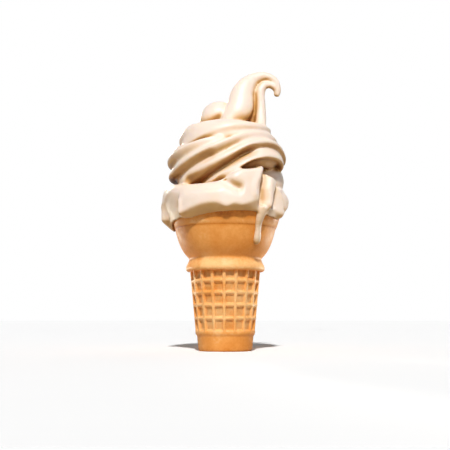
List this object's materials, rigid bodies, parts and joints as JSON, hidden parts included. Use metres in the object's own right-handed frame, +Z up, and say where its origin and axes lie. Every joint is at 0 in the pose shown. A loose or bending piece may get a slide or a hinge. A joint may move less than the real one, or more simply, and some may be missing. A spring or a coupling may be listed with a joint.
{
  "type": "soft serve cone",
  "caption": "Soft serve ice cream wound up to a hooked peak in a flat-footed wafer cup cone with a waffle grid, standing upright.",
  "frame": {"origin": "middle of the flat underside of the wafer cone's foot", "axes": "+Z up the cone's axis to the ice cream's peak, -Y towards the front, +X to the side that the hooked peak bends to"},
  "size_m": [0.0719, 0.0716, 0.1578],
  "materials": {
    "wafer": "matt baked wafer, browned in the recesses",
    "ice_cream": "smooth, softly shining vanilla ice cream"
  },
  "bodies": {
    "root": {"wafer_cone": "wafer", "soft_serve": "ice_cream"}
  },
  "joints": []
}
